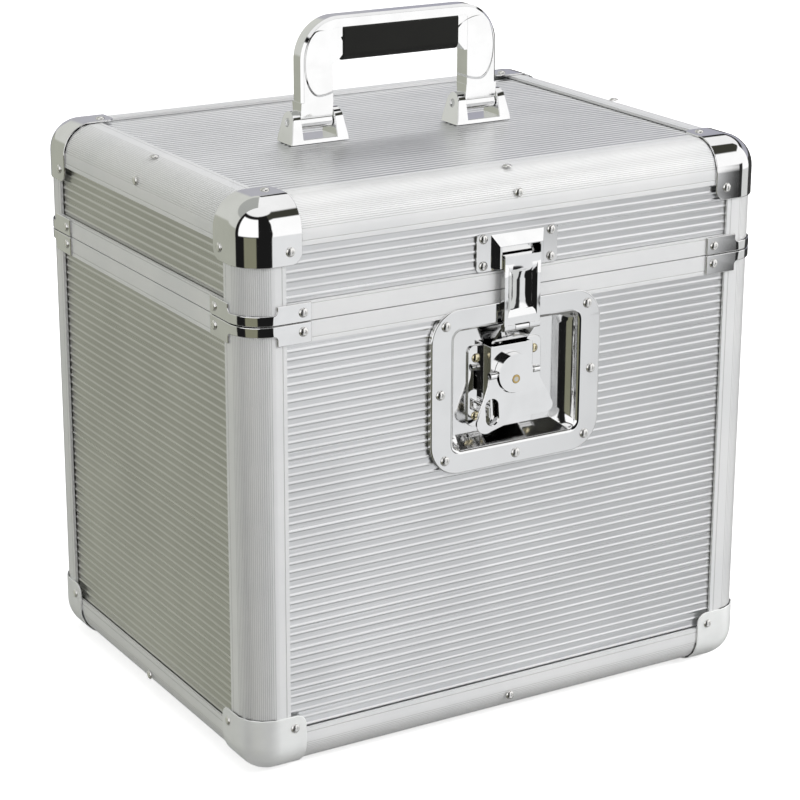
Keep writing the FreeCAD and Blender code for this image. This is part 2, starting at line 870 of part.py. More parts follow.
# Keeper: riveted plate with a pressed hood, open at its face over a catching edge
def hood_block(shrink, near_out, far_out):
    low = hub_z + hood_low + shrink
    near = [vec(-hood_base_half + shrink, front_y - near_out, low),
            vec(hood_base_half - shrink, front_y - near_out, low),
            vec(hood_base_half - shrink, front_y - near_out, hub_z + hood_high - shrink),
            vec(-hood_base_half + shrink, front_y - near_out, hub_z + hood_high - shrink)]
    far = [vec(-hood_face_half + shrink, front_y - far_out, low),
           vec(hood_face_half - shrink, front_y - far_out, low),
           vec(hood_face_half - shrink, front_y - far_out, hub_z + hood_brow - shrink),
           vec(-hood_face_half + shrink, front_y - far_out, hub_z + hood_brow - shrink)]
    return tapered(near, far)


def latch_keeper():
    plate = rounded_block(-keeper_half, keeper_half, front_y - keeper_front_out, front_y - keeper_back_out,
                          hub_z + keeper_low, hub_z + keeper_high, keeper_corner, Y)
    hood = hood_block(0, keeper_front_out, hood_out)
    hollow = hood_block(hood_wall, keeper_front_out, hood_out - hood_wall)
    window = block(-window_half, window_half, front_y - hood_out - over, front_y - arm_tab_front,
                   hub_z + window_low, hub_z + window_high)
    return fused([plate, hood]).cut(hollow).cut(window)


def keeper_rivets():
    heads = []
    for s in (-1, 1):
        for z in (keeper_rivet_low, keeper_rivet_high):
            heads.append(rivet(vec(s * keeper_rivet_x, front_y - keeper_front_out, hub_z + z), -Y))
    return heads


# Rear stop hinges, drawn round the hinge line with Y outward
def hinge_spans(half):
    pitch = (hinge_half * 2 + knuckle_gap) / knuckle_count
    spans = []
    for i in range(knuckle_count):
        start = -hinge_half + i * pitch
        spans.append((start, start + pitch - knuckle_gap, "base" if i % 2 == 0 else "lid"))
    return [s for s in spans if s[2] == half]


def hinge_leaf(half):
    sign = -1 if half == "base" else 1
    leaf_tall = hinge_leaf_base if half == "base" else hinge_leaf_lid
    z = sorted((sign * hinge_leaf_gap, sign * leaf_tall))
    leaf = block(-hinge_half, hinge_half, plate_gap, plate_gap + plate_thick, z[0], z[1])
    other = "lid" if half == "base" else "base"
    bore = hinge_pin_radius if half == "base" else hinge_pin_radius + hinge_pin_fit
    shapes = []
    for start, end, _ in hinge_spans(half):
        shapes.append(rod(barrel_radius, vec(start, barrel_out, 0), vec(end - start, 0, 0)))
        if half == "lid":
            lug = block(start, end, stop_lug_in, stop_lug_out, -stop_lug_thick / 2, stop_lug_thick / 2)
            shapes.append(moved(turned(lug, X, stop_lug_lean), 0, barrel_out, 0))
    leaf = fused([leaf] + shapes)
    for start, end, _ in hinge_spans(other):
        room = barrel_radius + barrel_clear
        leaf = leaf.cut(block(start - knuckle_gap, end + knuckle_gap, -over, over, -room, room))
        if half == "base":
            tab = block(start, end, plate_gap, stop_tab_out, -stop_tab_low, -stop_tab_high)
            leaf = fused([leaf, tab])
    return leaf.cut(rod(bore, vec(-over, barrel_out, 0), vec(over * 2, 0, 0)))


def at_hinges(shape):
    return Part.makeCompound([moved(shape, s * (side_x - hinge_inset), rear_y, split_z) for s in (-1, 1)])


def hinge_pin():
    return rod(hinge_pin_radius, vec(-hinge_half, barrel_out, 0), vec(hinge_half * 2, 0, 0))


def hinge_rivets(sign):
    heads = []
    for s in (-1, 1):
        for t in (-1, 1):
            x = s * (side_x - hinge_inset) + t * hinge_rivet_x
            y = rear_y + plate_gap + plate_thick
            heads.append(rivet(vec(x, y, split_z + sign * hinge_rivet_z), Y))
    return heads


# Handle shoe: base, two tapered ears with round crowns, and the gap for the leg
def handle_shoe(side):
    front = [vec(-shoe_base_half, -shoe_depth / 2, 0), vec(shoe_base_half, -shoe_depth / 2, 0),
             vec(shoe_top_half, -shoe_depth / 2, shoe_high), vec(-shoe_top_half, -shoe_depth / 2, shoe_high)]
    body = prism(front, vec(0, shoe_depth, 0))
    x = -shoe_base_half
    profile = [vec(x, -shoe_depth / 2, 0), vec(x, shoe_depth / 2, 0), vec(x, shoe_depth / 2, shoe_skirt),
               vec(x, shoe_crown, pivot_rise), vec(x, -shoe_crown, pivot_rise),
               vec(x, -shoe_depth / 2, shoe_skirt)]
    side_form = fused([prism(profile, vec(shoe_base_half * 2, 0, 0)),
                       rod(shoe_crown, vec(x, 0, pivot_rise), vec(shoe_base_half * 2, 0, 0))])
    shoe = body.common(side_form)
    shoe = shoe.cut(block(-shoe_gap_half, shoe_gap_half, -over, over, shoe_floor, over))
    shoe = shoe.cut(rod(handle_pin_radius, vec(-over, 0, pivot_rise), vec(over * 2, 0, 0)))
    return moved(shoe, side * shoe_centre, 0, lid_face_z + grip_gap)


def handle_pins():
    pins = []
    for side in (-1, 1):
        start = vec(side * shoe_centre - handle_pin_half, 0, lid_face_z + grip_gap + pivot_rise)
        pins.append(rod(handle_pin_radius, start, vec(handle_pin_half * 2, 0, 0)))
    return Part.makeCompound(pins)


# Handle arch with a web for the grip, tapered necks and pivot knuckles
def handle_frame():
    y = handle_depth / 2
    outer = block(-handle_half, handle_half, -y, y, neck_top, handle_top)
    crown = [e for e in parallel_edges(outer, Y) if abs(e.CenterOfMass.z - handle_top) < touch]
    outer = outer.makeFillet(handle_radius, crown)
    inner = block(-handle_inner_half, handle_inner_half, -over, over, -over, handle_top - handle_strap)
    roof = [e for e in parallel_edges(inner, Y) if abs(e.CenterOfMass.z - handle_top + handle_strap) < touch]
    inner = inner.makeFillet(handle_inner_radius, roof)
    rim = [e for e in outer.Edges if abs(abs(e.CenterOfMass.y) - y) < touch
           and e.CenterOfMass.z > neck_top + touch]
    arch = outer.makeChamfer(handle_edge, rim).cut(inner)
    web = block(-seat_web_half, seat_web_half, -seat_web_depth / 2, seat_web_depth / 2,
                seat_web_low, handle_top - handle_strap / 2)
    shapes = [arch, web]
    for side in (-1, 1):
        x = side * shoe_centre
        n = neck_depth / 2
        wide = prism([vec(x - knuckle_half, -y, neck_top), vec(x - knuckle_half, -n, pivot_rise),
                      vec(x - knuckle_half, n, pivot_rise), vec(x - knuckle_half, y, neck_top)],
                     vec(knuckle_half * 2, 0, 0))
        shapes.append(wide)
        shapes.append(rod(knuckle_radius, vec(x - knuckle_half, 0, pivot_rise), vec(knuckle_half * 2, 0, 0)))
    bore = rod(handle_pin_radius + handle_pin_fit, vec(-over * 3, 0, pivot_rise), vec(over * 6, 0, 0))
    return moved(fused(shapes).cut(bore), 0, 0, lid_face_z + grip_gap)


def handle_grip():
    y = grip_depth / 2
    high = handle_top - handle_strap - grip_gap
    grip = block(-grip_half, grip_half, -y, y, grip_low, high)
    low = [e for e in parallel_edges(grip, X) if abs(e.CenterOfMass.z - grip_low) < touch]
    grip = grip.makeFillet(grip_edge, low)
    half = seat_web_half + grip_slot_fit
    depth = seat_web_depth / 2 + grip_slot_fit
    slot = block(-half, half, -depth, depth, seat_web_low - grip_slot_fit, high + over)
    return moved(grip.cut(slot), 0, 0, lid_face_z + grip_gap)


# Every node and its shape
def all_nodes():
    nodes = {}
    for wall in ("front", "rear", "left", "right"):
        nodes["base_panel_" + wall] = base_panel(wall)
        nodes["base_rail_" + wall] = bottom_rail(wall)
        nodes["base_rim_" + wall] = base_rim(wall)
        nodes["lid_panel_" + wall] = lid_panel(wall)
        nodes["lid_rail_" + wall] = top_rail(wall)
        nodes["lid_rim_" + wall] = lid_rim(wall)
    names = ("front_left", "front_right", "rear_right", "rear_left")
    for name, corner in zip(names, CORNERS):
        nodes["base_post_" + name] = base_post(corner)
    nodes["lid_posts"] = Part.makeCompound([lid_post(corner) for corner in CORNERS])
    nodes["base_floor"] = floor_panel()
    nodes["lid_top"] = lid_top()
    nodes["base_lining"] = base_lining()
    nodes["lid_lining"] = lid_lining()
    nodes["base_corner_caps"] = bottom_caps()
    nodes["lid_corner_caps"] = top_caps()
    nodes["base_braces"] = base_braces()
    nodes["lid_braces"] = lid_braces()
    nodes["base_rivets"] = Part.makeCompound([base_rivets(), dish_rivets()] + hinge_rivets(-1))
    nodes["lid_rivets"] = Part.makeCompound([lid_rivets()] + hinge_rivets(1) + keeper_rivets())
    nodes["base_feet"] = feet()
    nodes["latch_dish"] = latch_dish()
    nodes["latch_bracket"] = latch_bracket()
    nodes["latch_bracket_rivets"] = bracket_rivets()
    nodes["latch_staple"] = latch_staple()
    nodes["latch_hub"] = latch_hub()
    nodes["latch_crank_pin"] = crank_pin()
    nodes["latch_wing"] = latch_wing()
    nodes["latch_wing_pins"] = wing_pins()
    nodes["latch_slider"] = latch_slider()
    nodes["latch_hook_arm"] = hook_arm()
    nodes["latch_hook_pin"] = hook_pin()
    nodes["latch_keeper"] = latch_keeper()
    nodes["hinge_base_leaves"] = at_hinges(hinge_leaf("base"))
    nodes["hinge_lid_leaves"] = at_hinges(hinge_leaf("lid"))
    nodes["hinge_pins"] = at_hinges(hinge_pin())
    nodes["handle_frame"] = handle_frame()
    nodes["handle_grip"] = handle_grip()
    nodes["handle_shoes"] = Part.makeCompound([handle_shoe(-1), handle_shoe(1)])
    nodes["handle_pins"] = handle_pins()
    return nodes


os.makedirs("parts", exist_ok=True)
for node, shape in all_nodes().items():
    shape.exportStep("parts/" + node + ".step")
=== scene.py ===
import json
import math

import bmesh
import bpy
from mathutils import Matrix, Vector

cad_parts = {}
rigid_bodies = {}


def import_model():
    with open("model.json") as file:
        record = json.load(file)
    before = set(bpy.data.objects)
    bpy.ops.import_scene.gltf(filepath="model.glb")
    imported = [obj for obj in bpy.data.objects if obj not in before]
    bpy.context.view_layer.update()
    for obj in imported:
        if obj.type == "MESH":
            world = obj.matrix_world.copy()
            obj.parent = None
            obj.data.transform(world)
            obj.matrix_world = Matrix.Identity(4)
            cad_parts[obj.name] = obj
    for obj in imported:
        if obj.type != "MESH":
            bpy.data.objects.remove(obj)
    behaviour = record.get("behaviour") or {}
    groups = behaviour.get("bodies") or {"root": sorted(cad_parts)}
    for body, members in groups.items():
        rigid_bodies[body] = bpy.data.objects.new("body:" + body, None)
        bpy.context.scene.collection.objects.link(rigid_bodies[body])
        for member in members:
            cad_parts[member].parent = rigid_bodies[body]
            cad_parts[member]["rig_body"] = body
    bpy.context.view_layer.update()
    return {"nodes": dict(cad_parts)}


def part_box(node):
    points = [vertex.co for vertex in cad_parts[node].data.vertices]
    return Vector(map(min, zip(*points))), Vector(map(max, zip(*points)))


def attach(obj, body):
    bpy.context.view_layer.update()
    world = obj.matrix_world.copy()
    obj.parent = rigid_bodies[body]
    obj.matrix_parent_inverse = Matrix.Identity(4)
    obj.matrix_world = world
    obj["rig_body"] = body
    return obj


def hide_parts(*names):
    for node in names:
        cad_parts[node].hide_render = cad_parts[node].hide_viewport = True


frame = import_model()
nodes = frame["nodes"]


# Ribbed aluminium sheets on the boards of every wall and of the lid, cold rolled, with a faint grain along
# the ribs and duller patches from hands. Ribs run along X on the front, rear and top, and along Y on both
# sides. The side sheets carry painted shade, as a darker olive copy of the same aluminium, and their crests
# get a painted highlight.
smooth_angle = math.radians(50)


def shader(name):
    made = bpy.data.materials.new(name)
    made.use_nodes = True
    tree = made.node_tree
    tree.nodes.clear()
    out = tree.nodes.new("ShaderNodeOutputMaterial")
    skin = tree.nodes.new("ShaderNodeBsdfPrincipled")
    tree.links.new(skin.outputs["BSDF"], out.inputs["Surface"])
    return made, tree, skin


def grain(tree, stretch, detail=3.0):
    place = tree.nodes.new("ShaderNodeTexCoord")
    spread = tree.nodes.new("ShaderNodeMapping")
    noise = tree.nodes.new("ShaderNodeTexNoise")
    spread.inputs["Scale"].default_value = stretch
    noise.inputs["Scale"].default_value = 1.0
    noise.inputs["Detail"].default_value = detail
    tree.links.new(place.outputs["Object"], spread.inputs["Vector"])
    tree.links.new(spread.outputs["Vector"], noise.inputs["Vector"])
    return noise.outputs["Fac"]


def between(tree, value, low, high, start=0.3, end=0.7):
    spread = tree.nodes.new("ShaderNodeMapRange")
    spread.interpolation_type = "SMOOTHSTEP"
    spread.inputs["From Min"].default_value = start
    spread.inputs["From Max"].default_value = end
    spread.inputs["To Min"].default_value = low
    spread.inputs["To Max"].default_value = high
    tree.links.new(value, spread.inputs["Value"])
    return spread.outputs["Result"]


def feed(tree, socket, value):
    if isinstance(value, bpy.types.NodeSocket):
        tree.links.new(value, socket)
    elif isinstance(value, tuple):
        socket.default_value = (*value, 1.0)
    else:
        socket.default_value = value


def coat(tree, skin, **inputs):
    for label, value in inputs.items():
        feed(tree, skin.inputs[label.replace("_", " ")], value)


def tint(tree, value, low, high, blend="MIX"):
    mix = tree.nodes.new("ShaderNodeMix")
    mix.data_type = "RGBA"
    mix.blend_type = blend
    feed(tree, mix.inputs["Factor"], value)
    feed(tree, mix.inputs["A"], low)
    feed(tree, mix.inputs["B"], high)
    return mix.outputs["Result"]


def math_node(tree, operation, first, second=None):
    made = tree.nodes.new("ShaderNodeMath")
    made.operation = operation
    feed(tree, made.inputs[0], first)
    if second is not None:
        feed(tree, made.inputs[1], second)
    return made.outputs["Value"]


def relief(tree, skin, value, depth, strength=1.0):
    bump = tree.nodes.new("ShaderNodeBump")
    bump.inputs["Strength"].default_value = strength
    bump.inputs["Distance"].default_value = depth
    tree.links.new(value, bump.inputs["Height"])
    tree.links.new(bump.outputs["Normal"], skin.inputs["Normal"])


def rolled_sheet(name, stretch, dull, bright, painted_crest_highlight=0.0):
    made, tree, skin = shader(name)
    fine = grain(tree, stretch)
    wear = grain(tree, (14.0, 14.0, 14.0), 5.0)
    ground = tint(tree, between(tree, wear, 0.0, 1.0), dull, bright)
    crest = tree.nodes.new("ShaderNodeAttribute")
    crest.attribute_name = "crest"
    # Crests are painted brighter by this share: a painted highlight along each rib.
    crest_highlight_share = math_node(tree, "MULTIPLY", crest.outputs["Fac"], painted_crest_highlight)
    coat(tree, skin, Base_Color=tint(tree, crest_highlight_share, ground, (0.96, 0.96, 0.95)), Metallic=1.0,
         Roughness=between(tree, fine, 0.27, 0.35))
    relief(tree, skin, fine, 0.00003)
    return made


def dress(names, material):
    for name in names:
        piece = nodes[name]
        piece.data.materials.clear()
        piece.data.materials.append(material)


def plain_mesh(made):
    bpy.context.collection.objects.link(made)
    bpy.context.view_layer.update()
    seen = made.evaluated_get(bpy.context.evaluated_depsgraph_get())
    finished = bpy.data.meshes.new_from_object(seen)
    made.modifiers.clear()
    made.data = finished
    return made


def stand_in(made, name):
    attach(made, nodes[name]["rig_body"])
    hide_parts(name)
    return made


def set_inputs(modifier, values):
    for item in modifier.node_group.interface.items_tree:
        if item.item_type == "SOCKET" and item.in_out == "INPUT" and item.name in values:
            modifier[item.identifier] = values[item.name]


class Maker:
    """A node group under construction: named inputs, nodes and links."""

    def __init__(self, name, inputs):
        self.group = bpy.data.node_groups.new(name, "GeometryNodeTree")
        self.group.interface.new_socket("Geometry", in_out="INPUT", socket_type="NodeSocketGeometry")
        for label, kind in inputs:
            self.group.interface.new_socket(label, in_out="INPUT", socket_type="NodeSocket" + kind)
        self.group.interface.new_socket("Geometry", in_out="OUTPUT", socket_type="NodeSocketGeometry")
        self.given = self.group.nodes.new("NodeGroupInput").outputs

    def node(self, kind, settings=None, **inputs):
        made = self.group.nodes.new(kind)
        for key, value in (settings or {}).items():
            setattr(made, key, value)
        for label, value in inputs.items():
            self.feed(made.inputs[label.replace("_", " ").strip()], value)
        return made

    def feed(self, socket, value):
        if isinstance(value, bpy.types.NodeSocket):
            self.group.links.new(value, socket)
        else:
            socket.default_value = value

    def number(self, operation, *values):
        made = self.node("ShaderNodeMath", {"operation": operation})
        for socket, value in zip(made.inputs, values):
            self.feed(socket, value)
        return made.outputs["Value"]

    def vector(self, x, y, z):
        return self.node("ShaderNodeCombineXYZ", X=x, Y=y, Z=z).outputs["Vector"]

    def position(self):
        where = self.node("GeometryNodeInputPosition")
        return self.node("ShaderNodeSeparateXYZ", Vector=where.outputs["Position"]).outputs

    def finish(self, geometry):
        real = self.node("GeometryNodeRealizeInstances", Geometry=geometry)
        smooth = self.node("GeometryNodeSetShadeSmooth", Geometry=real.outputs["Geometry"])
        paint = self.node("GeometryNodeSetMaterial", Geometry=smooth.outputs["Geometry"],
                          Material=self.given["Material"])
        done = self.group.nodes.new("NodeGroupOutput")
        self.group.links.new(paint.outputs["Geometry"], done.inputs["Geometry"])
        return self.group


rib_pitch = 0.00495
rib_rise = 0.00045
rib_half = 0.00125
rib_steps = 16
weld = 0.00001
pan_opening = (0.0936, 0.0796, 0.05)


def sheet_group():
    lengths = ("Length", "Height", "Thickness", "Pitch", "Shift", "Rise", "Rib half")
    make = Maker("ribbed sheet", [*((label, "Float") for label in lengths), ("Rows", "Int"),
                                  ("Opening", "Bool"), ("Opening size", "Vector"),
                                  ("Opening centre", "Vector"), ("Material", "Material")])
    given = make.given
    grid = make.node("GeometryNodeMeshGrid", Size_X=given["Length"], Size_Y=given["Height"], Vertices_X=2,
                     Vertices_Y=given["Rows"])
    at = make.position()
    half_pitch = make.number("DIVIDE", given["Pitch"], 2.0)
    nearest = make.number("PINGPONG", make.number("ADD", at["Y"], given["Shift"]), half_pitch)
    share = make.number("MINIMUM", make.number("DIVIDE", nearest, given["Rib half"]), 1.0)
    swell = make.number("COSINE", make.number("MULTIPLY", share, math.pi / 2))
    crown = make.number("MULTIPLY", swell, swell)
    height = make.number("MULTIPLY", crown, given["Rise"])
    front = make.node("GeometryNodeSetPosition", Geometry=grid.outputs["Mesh"],
                      Offset=make.vector(0.0, 0.0, height))
    block = make.node("GeometryNodeExtrudeMesh", {"mode": "FACES"}, Mesh=front.outputs["Geometry"],
                      Offset=make.vector(0.0, 0.0, -1.0), Offset_Scale=given["Thickness"], Individual=False)
    behind = make.position()
    level = make.vector(behind["X"], behind["Y"], make.number("MULTIPLY", given["Thickness"], -1.0))
    flat = make.node("GeometryNodeSetPosition", Geometry=block.outputs["Mesh"],
                     Selection=block.outputs["Top"], Position=level)
    flipped = make.node("GeometryNodeFlipFaces", Mesh=flat.outputs["Geometry"])
    whole = make.node("GeometryNodeJoinGeometry")
    make.group.links.new(flipped.outputs["Mesh"], whole.inputs["Geometry"])
    make.group.links.new(front.outputs["Geometry"], whole.inputs["Geometry"])
    closed = make.node("GeometryNodeMergeByDistance", Geometry=whole.outputs["Geometry"], Distance=weld)
    plug = make.node("GeometryNodeMeshCube", Size=given["Opening size"])
    placed = make.node("GeometryNodeSetPosition", Geometry=plug.outputs["Mesh"],
                       Offset=given["Opening centre"])
    cut = make.node("GeometryNodeMeshBoolean", {"operation": "DIFFERENCE", "solver": "EXACT"})
    make.group.links.new(closed.outputs["Geometry"], cut.inputs[0])
    make.group.links.new(placed.outputs["Geometry"], cut.inputs[1])
    choice = make.node("GeometryNodeSwitch", {"input_type": "GEOMETRY"}, Switch=given["Opening"],
                       False_=closed.outputs["Geometry"], True_=cut.outputs["Mesh"])
    crest = make.node("GeometryNodeStoreNamedAttribute", {"data_type": "FLOAT", "domain": "POINT"},
                      Geometry=choice.outputs["Output"], Name="crest", Value=crown)
    return make.finish(crest.outputs["Geometry"])


ribs = sheet_group()
outward = {"front": (0, -1, 0), "rear": (0, 1, 0), "left": (-1, 0, 0), "right": (1, 0, 0), "top": (0, 0, 1)}


def ribbed(name, side, material):
    low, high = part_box(name)
    middle, size = (low + high) / 2, high - low
    out = Vector(outward[side])
    across = Vector((0, 1, 0)) if side == "top" else Vector((0, 0, 1))
    along = across.cross(out)
    length, height, thick = (abs(size.dot(axis)) for axis in (along, across, out))
    count = int(height / rib_pitch)
    values = {"Length": length, "Height": height, "Thickness": thick - rib_rise, "Pitch": rib_pitch,
              "Shift": 0.0 if count % 2 else rib_pitch / 2, "Rise": rib_rise, "Rib half": rib_half,
              "Rows": int(height / rib_pitch * rib_steps) + 1, "Material": material}
    face = middle + out * (thick / 2 - rib_rise)
    if name == "base_panel_front":
        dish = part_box("latch_dish")
        hole = (dish[0] + dish[1]) / 2 - face
        values["Opening"] = True
        values["Opening size"] = pan_opening
        values["Opening centre"] = (hole.dot(along), hole.dot(across), 0.0)
    made = bpy.data.objects.new(name + "_rolled", bpy.data.meshes.new(name))
    maker = made.modifiers.new("ribs", "NODES")
    maker.node_group = ribs
    set_inputs(maker, values)
    plain_mesh(made)
    turn = Matrix((along, across, out)).transposed().to_4x4()
    made.data.transform(Matrix.Translation(face) @ turn)
    made.data.set_sharp_from_angle(angle=smooth_angle)
    return stand_in(made, name)


grain_x = (3.0, 900.0, 900.0)
grain_y = (900.0, 3.0, 900.0)
sheet_x = rolled_sheet("ribbed sheet along X", grain_x, (0.80, 0.805, 0.815), (0.86, 0.865, 0.875))
# The side sheet is a darker olive copy of the front sheet, which is painted shade, with painted crest
# highlights.
side_sheet_painted_shade = rolled_sheet("ribbed sheet along Y with painted shade", grain_y, (0.55, 0.55, 0.52), (0.62, 0.62, 0.59), 0.6)
for side in ("front", "rear", "left", "right"):
    for half in ("base", "lid"):
        ribbed(half + "_panel_" + side, side, sheet_x if side in ("front", "rear") else side_sheet_painted_shade)
ribbed("lid_top", "top", sheet_x)


# Aluminium edge extrusions: posts, rails and the two rim rails at the split. They are satin, with fine
# die lines along their length, a band of narrow grooves over the rounding and one groove near each edge.
# The grooves are also painted darker, as painted shade in them.
groove_pitch = 0.0016
groove_band = 0.0168
band_edge = 0.0001
edge_groove = 0.0232
rim_groove = 0.0100
groove_floor, groove_lip = 0.00005, 0.0004
line_floor, line_lip = 0.0001, 0.0005
case_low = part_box("base_rail_front")[0].z
case_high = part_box("lid_rail_front")[1].z
case_middle = Vector((0.0, 0.0, (case_low + case_high) / 2))
case_half = Vector((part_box("base_rail_right")[1].x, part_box("base_rail_rear")[1].y,
                    (case_high - case_low) / 2))
split_height = (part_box("base_post_front_left")[1].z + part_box("lid_posts")[0].z) / 2


def object_place(tree):
    place = tree.nodes.new("ShaderNodeTexCoord")
    split = tree.nodes.new("ShaderNodeSeparateXYZ")
    tree.links.new(place.outputs["Object"], split.inputs["Vector"])
    return split.outputs


def depth_from_face(tree, axis):
    i = "XYZ".index(axis)
    offset = math_node(tree, "SUBTRACT", object_place(tree)[axis], float(case_middle[i]))
    return math_node(tree, "SUBTRACT", float(case_half[i]), math_node(tree, "ABSOLUTE", offset))


def corner_grooves(tree, axes):
    across = math_node(tree, "SUBTRACT", depth_from_face(tree, axes[0]), depth_from_face(tree, axes[1]))
    across = math_node(tree, "ABSOLUTE", across)
    nearest = math_node(tree, "PINGPONG", across, groove_pitch / 2)
    lines = between(tree, nearest, 0.0, 1.0, groove_floor, groove_lip)
    outside = between(tree, across, 0.0, 1.0, groove_band, groove_band + band_edge)
    lines = math_node(tree, "MAXIMUM", lines, outside)
    edge = math_node(tree, "ABSOLUTE", math_node(tree, "SUBTRACT", across, edge_groove))
    return math_node(tree, "MINIMUM", lines, between(tree, edge, 0.0, 1.0, line_floor, line_lip))


def rim_line(tree):
    height = math_node(tree, "ABSOLUTE", math_node(tree, "SUBTRACT", object_place(tree)["Z"], split_height))
    line = math_node(tree, "ABSOLUTE", math_node(tree, "SUBTRACT", height, rim_groove))
    return between(tree, line, 0.0, 1.0, line_floor, line_lip)


def extrusion(name, stretch, lines):
    made, tree, skin = shader(name)
    fine = grain(tree, stretch)
    wear = grain(tree, (20.0, 20.0, 20.0), 5.0)
    pattern = lines(tree)
    colour = tint(tree, between(tree, wear, 0.0, 1.0), (0.88, 0.885, 0.89), (0.93, 0.93, 0.93))
    # The grooves are painted darker here: painted shade in the grooves.
    shade = tint(tree, pattern, (0.78, 0.78, 0.77), (1.0, 1.0, 1.0))
    coat(tree, skin, Base_Color=tint(tree, 1.0, colour, shade, "MULTIPLY"), Metallic=0.55,
         Roughness=between(tree, fine, 0.40, 0.48))
    height = math_node(tree, "ADD", pattern, math_node(tree, "MULTIPLY", fine, 0.15))
    relief(tree, skin, height, 0.00012)
    return made


def drawn(axis):
    stretch = tuple(2.0 if letter == axis else 1200.0 for letter in "XYZ")
    across = "XYZ".replace(axis, "")
    return extrusion("extrusion along " + axis, stretch, lambda tree: corner_grooves(tree, across))


rim_x = extrusion("rim along X", (2.0, 1200.0, 1200.0), rim_line)
rim_y = extrusion("rim along Y", (1200.0, 2.0, 1200.0), rim_line)
for sides, rail, rim in ((("front", "rear"), drawn("X"), rim_x), (("left", "right"), drawn("Y"), rim_y)):
    for half in ("base", "lid"):
        dress([half + "_rail_" + side for side in sides], rail)
        dress([half + "_rim_" + side for side in sides], rim)
posts = ["base_post_" + depth + "_" + side for depth in ("front", "rear") for side in ("left", "right")]
dress([*posts, "lid_posts"], drawn("Z"))


# Ball corners and braces: pressed steel, chrome plated above and satin plated below. The press leaves
# their cut edges slightly rounded, and the plating shows faint polishing marks.
corner_round = 0.0005
sharp_degrees = 28
facet_degrees = 0.4
facet_weld = 0.000002
worn_share = 0.94
chrome_colour = (0.88, 0.88, 0.88)


def plating(name, colour, rough, metal=1.0, shape=None):
    made, tree, skin = shader(name)
    wear = grain(tree, (60.0, 60.0, 60.0), 6.0)
    dark = tuple(worn_share * c for c in colour)
    coat(tree, skin, Base_Color=tint(tree, between(tree, wear, 0.0, 1.0), dark, colour), Metallic=metal,
         Roughness=between(tree, wear, rough, rough + 0.05))
    if shape:
        relief(tree, skin, shape(tree), 1.0)
    else:
        relief(tree, skin, wear, 0.00002, 0.4)
    return made


def merged(name):
    solid = bmesh.new()
    solid.from_mesh(nodes[name].data)
    bmesh.ops.remove_doubles(solid, verts=solid.verts, dist=facet_weld)
    bmesh.ops.dissolve_limit(solid, angle_limit=math.radians(facet_degrees), verts=solid.verts,
                             edges=solid.edges)
    return solid


def turns(edge, degrees):
    return len(edge.link_faces) == 2 and edge.calc_face_angle() > math.radians(degrees)


def bend(solid, edges, width, steps, clamp=True):
    bmesh.ops.bevel(solid, geom=edges, offset=width, offset_type="OFFSET", segments=steps, profile=0.5,
                    affect="EDGES", clamp_overlap=clamp)


def set_in_place(solid, name, ending, material):
    mesh = bpy.data.meshes.new(name + ending)
    solid.to_mesh(mesh)
    solid.free()
    for face in mesh.polygons:
        face.use_smooth = True
    mesh.set_sharp_from_angle(angle=smooth_angle)
    mesh.materials.append(material)
    made = bpy.data.objects.new(name + ending, mesh)
    weighted = made.modifiers.new("flat faces stay flat", "WEIGHTED_NORMAL")
    weighted.keep_sharp = True
    return stand_in(plain_mesh(made), name)


def rounded(name, width, material, steps=2, reshape=None):
    solid = merged(name)
    if reshape:
        reshape(solid)
    bend(solid, [edge for edge in solid.edges if turns(edge, sharp_degrees)], width, steps)
    return set_in_place(solid, name, "_rounded", material)


chrome = plating("chrome", chrome_colour, 0.03)
satin = plating("satin plate", (0.93, 0.94, 0.93), 0.42, 0.4)
rounded("lid_corner_caps", corner_round, chrome)
rounded("base_corner_caps", corner_round, satin)
rounded("base_braces", corner_round, chrome)
rounded("lid_braces", corner_round, chrome)


# Rivets: domed steel heads set by machine, all alike but for the slightly larger ones on the latch. Each
# CAD head gives the place, the direction and the radius of its dome.
dome_rise = 0.48
dome_sides = 24
dome_rings = 7
dome_share = 0.96
brass_colour = (0.80, 0.72, 0.50)


def head_places(name):
    solid = merged(name)
    places = []
    found = set()
    for first in solid.faces:
        if first in found:
            continue
        found.add(first)
        island = [first]
        for face in island:
            for edge in face.edges:
                for other in edge.link_faces:
                    if other not in found:
                        found.add(other)
                        island.append(other)
        seat = max(island, key=lambda face: face.calc_area())
        centre = seat.calc_center_median()
        places.append((centre.copy(), -seat.normal, (seat.verts[0].co - centre).length))
    solid.free()
    return places


def point_cloud(name, places):
    mesh = bpy.data.meshes.new(name)
    mesh.from_pydata([place for place, out, radius in places], [], [])
    mesh.attributes.new("outward", "FLOAT_VECTOR", "POINT")
    mesh.attributes.new("head_radius", "FLOAT", "POINT")
    for i, (place, out, radius) in enumerate(places):
        mesh.attributes["outward"].data[i].vector = out
        mesh.attributes["head_radius"].data[i].value = radius
    return bpy.data.objects.new(name, mesh)


